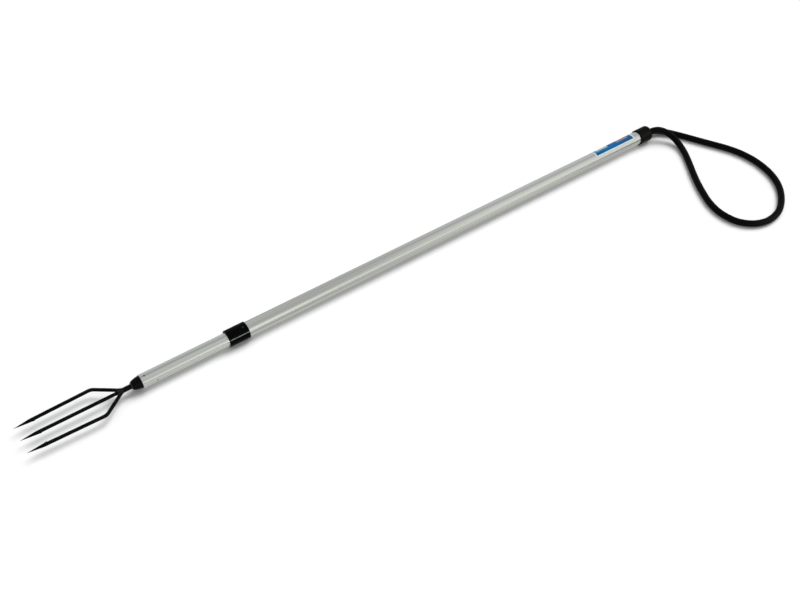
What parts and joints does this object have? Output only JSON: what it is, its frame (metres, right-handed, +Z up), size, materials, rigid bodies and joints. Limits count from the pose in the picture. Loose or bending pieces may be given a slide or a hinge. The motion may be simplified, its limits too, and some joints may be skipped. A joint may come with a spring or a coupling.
{
  "type": "telescopic hand spear",
  "caption": "Two-section telescopic aluminium pole with a three-prong barbed steel head, a twist-lock collar, a rear cap and a rubber sling loop.",
  "frame": {"origin": "on the pole axis, in the plane of the locking collar's front face", "axes": "+X along the pole towards the prong tips, +Z up with the fan of prongs level, +Y towards the side the sling loop lies on"},
  "size_m": [1.3662, 0.3366, 0.0292],
  "materials": {
    "outer_aluminium": "drawn tube, clear anodised, fine lengthwise draw lines",
    "inner_aluminium": "drawn tube, clear anodised, fine lengthwise draw lines",
    "collar_black": "polished black moulded nylon",
    "cap_black": "matt black moulded plastic, fine spark-eroded grain",
    "cone_black": "satin black moulded plastic",
    "prong_black": "black enamel on steel rod, worn at the points",
    "weld_black": "black enamel over a lumpy weld",
    "steel": "bright zinc-plated steel",
    "washer_grey": "dull zinc-plated steel",
    "rubber_black": "satin extruded latex rubber cord",
    "lock_nylon": "natural nylon",
    "lock_black": "black moulded plastic",
    "label_print": "printed vinyl wrap, plain colour blocks and no lettering"
  },
  "bodies": {
    "outer_section": {"outer_tube": "outer_aluminium", "collar": "collar_black", "collar_rivet": "collar_black", "rear_cap": "cap_black", "anchor_pin": "steel", "cord_tails": "rubber_black", "label": "label_print"},
    "glide": {"glide_ring": "lock_nylon"},
    "inner_section": {"inner_tube": "inner_aluminium", "nose_cone": "cone_black", "nose_insert": "steel", "nose_pins": "washer_grey", "lock_plug": "lock_black", "lock_pin": "steel", "lock_washer": "steel", "lock_screw": "steel"},
    "cam": {"lock_cam": "lock_nylon"},
    "head_seat": {"head_washer": "washer_grey"},
    "head": {"shank": "prong_black", "centre_prong": "prong_black", "left_prong": "prong_black", "right_prong": "prong_black", "weld_bead": "weld_black"},
    "sling": {"cord_loop": "rubber_black"}
  },
  "joints": [
    {"name": "pole_slide", "type": "slide", "parent": "outer_section", "child": "glide", "axis": [1, 0, 0], "range_m": [-0.05, 0.62]},
    {"name": "pole_twist", "type": "hinge", "parent": "glide", "child": "inner_section", "pos_m": [-0.7707, 0, 0], "axis": [1, 0, 0], "continuous": true},
    {"name": "lock_cam_turn", "type": "hinge", "parent": "inner_section", "child": "cam", "pos_m": [-0.7888, 0, -0.0015], "axis": [1, 0, 0], "range_deg": [0, 14]},
    {"name": "head_travel", "type": "slide", "parent": "inner_section", "child": "head_seat", "axis": [1, 0, 0], "range_m": [0, 0.018]},
    {"name": "head_spin", "type": "hinge", "parent": "head_seat", "child": "head", "pos_m": [0.1614, 0, 0], "axis": [1, 0, 0], "range_deg": [0, 6500]},
    {"name": "sling_swing", "type": "hinge", "parent": "outer_section", "child": "sling", "pos_m": [-0.928, 0, 0], "axis": [0, 0, 1], "range_deg": [-20, 45]}
  ],
  "couplings": [
    {"joint": "head_spin", "follows": "head_travel", "rad_per_m": 6283.2}
  ]
}
